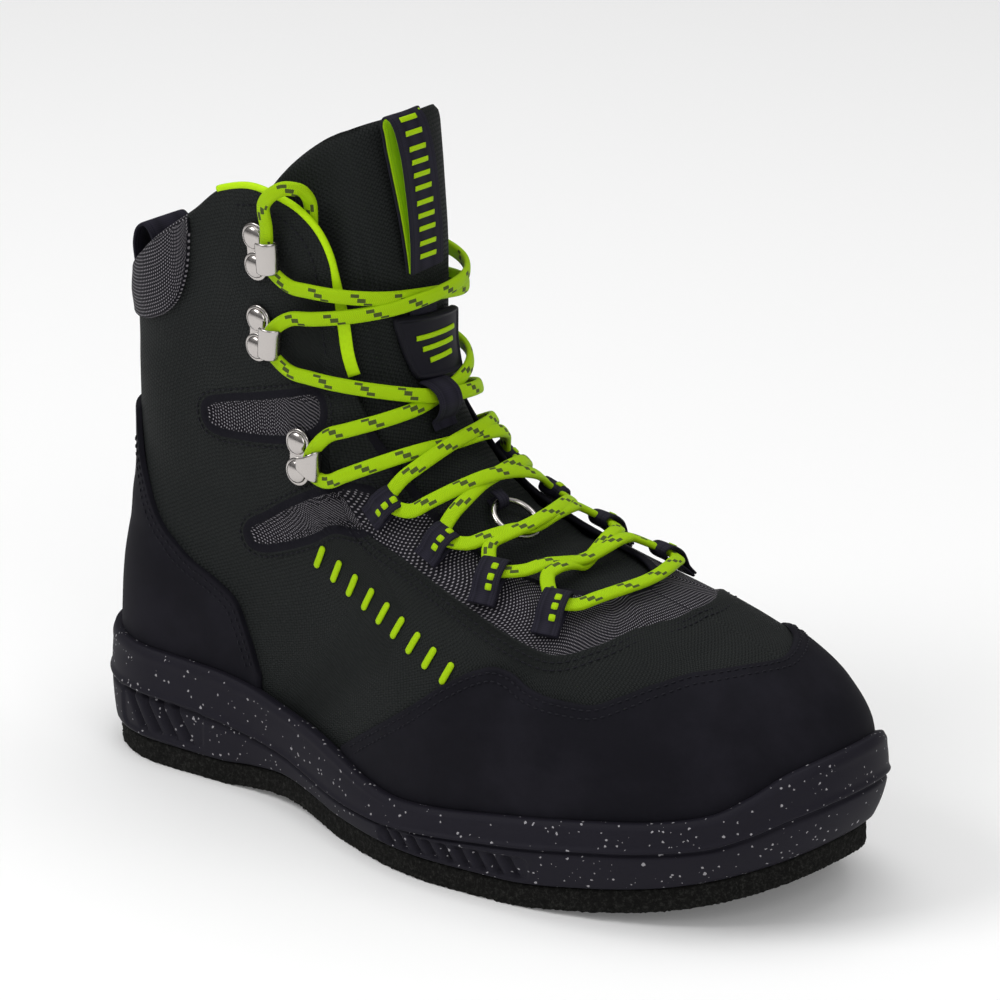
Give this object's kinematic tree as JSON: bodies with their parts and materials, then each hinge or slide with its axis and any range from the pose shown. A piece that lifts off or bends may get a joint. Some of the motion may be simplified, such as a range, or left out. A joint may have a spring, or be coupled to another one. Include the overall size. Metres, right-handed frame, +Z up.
{
  "type": "wading boot",
  "caption": "Right wading boot: hollow laced cloth upper on a cup midsole with a flat felt outsole, lace loops, hooks, tongue with keeper and pull loop.",
  "frame": {"origin": "centre of the heel's flat spot, on the floor plane under the felt", "axes": "+X to the toe along the sole, +Y to the inner side of the foot, +Z up"},
  "size_m": [0.3225, 0.1288, 0.2609],
  "materials": {
    "felt": "dense dark felt",
    "midsole_rubber": "matte speckled foam rubber",
    "lining": "dark lining cloth",
    "upper_cloth": "fine woven synthetic",
    "nubuck": "matte synthetic nubuck",
    "mesh_cloth": "open mesh",
    "webbing": "ribbed webbing",
    "badge_rubber": "soft moulded rubber",
    "hook_steel": "satin nickel",
    "lace": "braided cord",
    "piping": "bright woven piping"
  },
  "bodies": {
    "root": {"felt_outsole": "felt", "midsole": "midsole_rubber", "insole": "lining", "upper": "upper_cloth", "tongue": "upper_cloth", "toe_cap": "nubuck", "heel_counter": "nubuck", "collar_panel": "mesh_cloth", "lace_loop_outer_1": "webbing", "lace_loop_outer_2": "webbing", "lace_loop_outer_3": "webbing", "lace_loop_outer_4": "webbing", "lace_loop_inner_1": "webbing", "lace_loop_inner_2": "webbing", "lace_loop_inner_3": "webbing", "lace_loop_inner_4": "webbing", "top_hook_outer": "hook_steel", "middle_hook_outer": "hook_steel", "locking_hook_outer": "hook_steel", "top_hook_inner": "hook_steel", "middle_hook_inner": "hook_steel", "locking_hook_inner": "hook_steel", "lace_bar": "lace", "lace_cross_1": "lace", "lace_cross_2": "lace", "lace_cross_3": "lace", "lace_cross_4": "lace", "lace_cross_5": "lace", "lace_cross_6": "lace", "lace_end_outer": "lace", "lace_end_inner": "lace", "tongue_webbing": "webbing", "tongue_badge": "badge_rubber", "tongue_keeper": "webbing", "tongue_loop": "webbing", "lace_ring": "hook_steel", "ring_tab": "webbing", "heel_loop": "webbing", "piping_outer": "piping", "piping_inner": "piping"}
  },
  "joints": []
}
